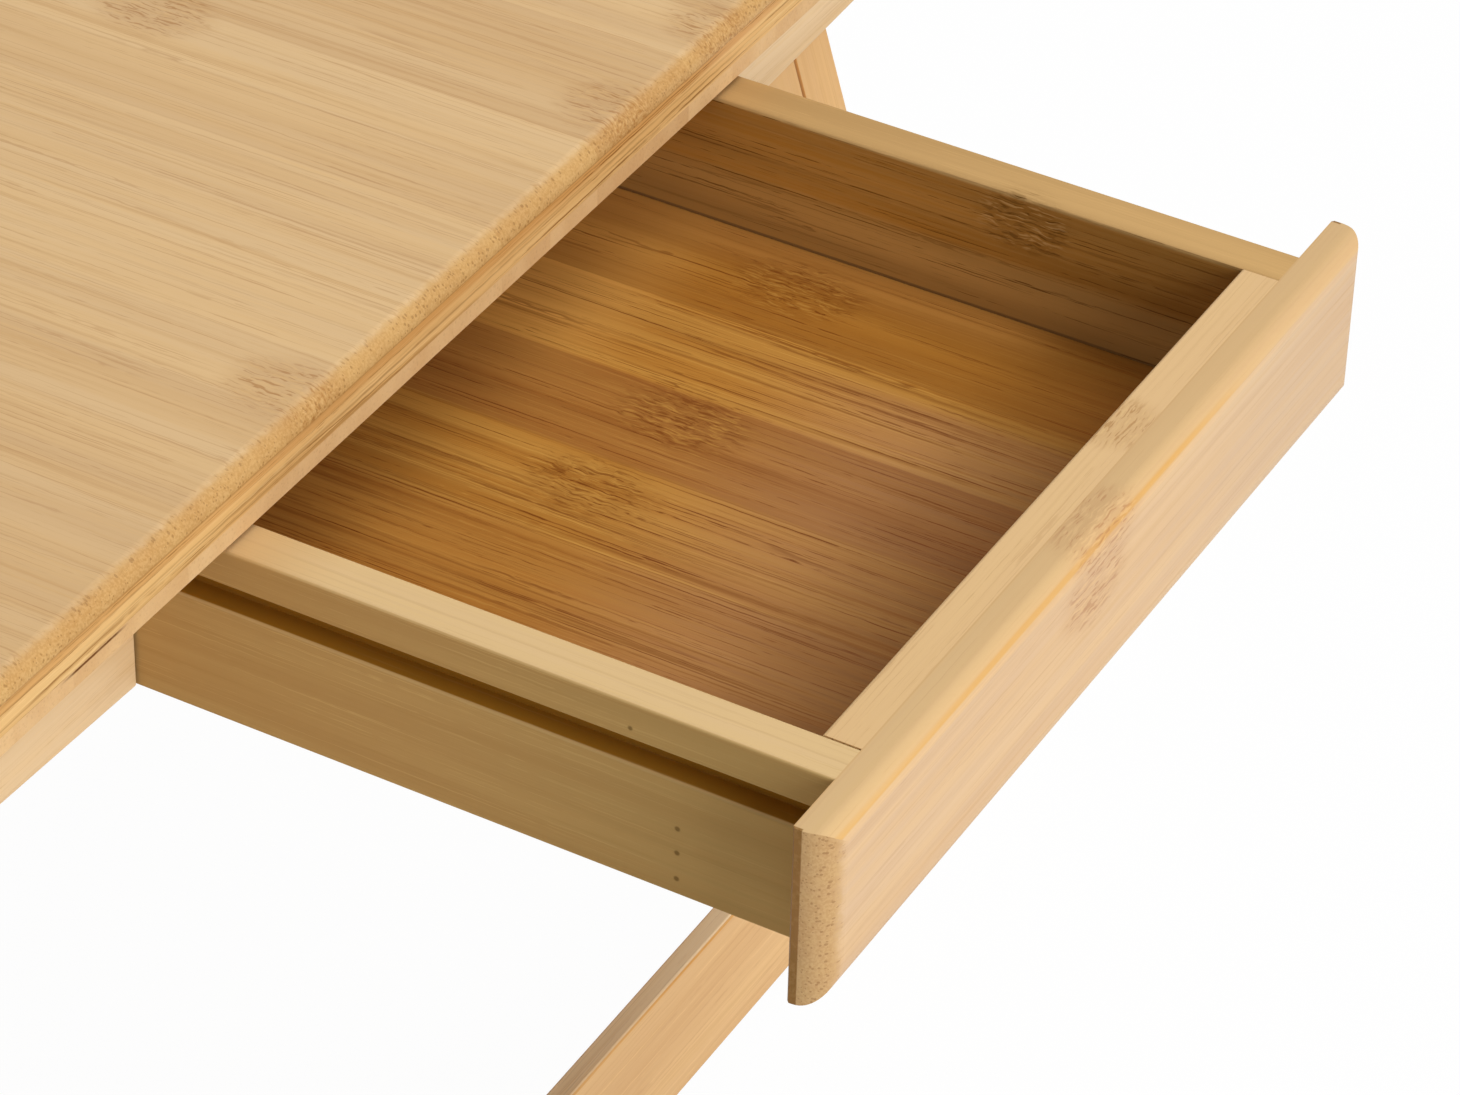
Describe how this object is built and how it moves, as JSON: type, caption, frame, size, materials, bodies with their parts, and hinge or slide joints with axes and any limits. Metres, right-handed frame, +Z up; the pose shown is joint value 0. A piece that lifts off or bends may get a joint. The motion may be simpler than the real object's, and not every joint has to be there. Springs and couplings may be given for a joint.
{
  "type": "folding laptop table",
  "caption": "Low bamboo laptop table with splayed folding leg frames, crossbars and a shallow side drawer on wooden runners.",
  "frame": {"origin": "on the floor under the feet, midway in X between the left feet and the open drawer's front, on the table's middle line in Y", "axes": "+X the way the drawer opens, to the user's right; +Y away from the user; +Z up"},
  "size_m": [0.78, 0.44, 0.255],
  "materials": {
    "bamboo_face_ply": "clear satin lacquer on sanded bamboo",
    "bamboo_core_ply": "clear satin lacquer on sanded bamboo",
    "bamboo_frame": "clear satin lacquer on sanded bamboo",
    "bamboo_drawer_box": "clear satin lacquer on sanded bamboo",
    "bamboo_drawer_front": "clear satin lacquer on sanded bamboo",
    "bamboo_drawer_floor": "clear satin lacquer on carbonised bamboo",
    "bamboo_legs": "clear satin lacquer on sanded bamboo",
    "plated_steel": "zinc plated steel"
  },
  "bodies": {
    "table": {"tabletop_bottom_ply": "bamboo_face_ply", "tabletop_core_ply": "bamboo_core_ply", "tabletop_top_ply": "bamboo_face_ply", "apron_right_near": "bamboo_frame", "apron_right_far": "bamboo_frame", "apron_left": "bamboo_frame", "rail_near": "bamboo_frame", "rail_far": "bamboo_frame", "drawer_guide_near": "bamboo_frame", "drawer_guide_far": "bamboo_frame", "runner_near": "bamboo_frame", "runner_far": "bamboo_frame", "guide_tie": "bamboo_frame", "pivot_bolts": "plated_steel", "pivot_washers": "plated_steel", "pivot_nuts": "plated_steel"},
    "drawer": {"drawer_side_near": "bamboo_drawer_box", "drawer_side_far": "bamboo_drawer_box", "drawer_back_board": "bamboo_drawer_box", "drawer_inner_front": "bamboo_drawer_box", "drawer_floor": "bamboo_drawer_floor", "drawer_front": "bamboo_drawer_front", "front_screws": "plated_steel"},
    "leg_frame_left": {"leg_left_near_outer": "bamboo_legs", "leg_left_near_inner": "bamboo_legs", "leg_left_far_outer": "bamboo_legs", "leg_left_far_inner": "bamboo_legs", "crossbar_left": "bamboo_legs"},
    "leg_frame_right": {"leg_right_near_outer": "bamboo_legs", "leg_right_near_inner": "bamboo_legs", "leg_right_far_outer": "bamboo_legs", "leg_right_far_inner": "bamboo_legs", "crossbar_right": "bamboo_legs"}
  },
  "joints": [
    {"name": "drawer_slide", "type": "slide", "parent": "table", "child": "drawer", "axis": [1, 0, 0], "range_m": [-0.148, 0.012]},
    {"name": "leg_fold_right", "type": "hinge", "parent": "table", "child": "leg_frame_right", "pos_m": [0.20207, 0, 0.2205], "axis": [0, 1, 0], "range_deg": [0, 107]},
    {"name": "leg_fold_left", "type": "hinge", "parent": "table", "child": "leg_frame_left", "pos_m": [-0.31005, 0, 0.2205], "axis": [0, -1, 0], "range_deg": [0, 107]}
  ]
}
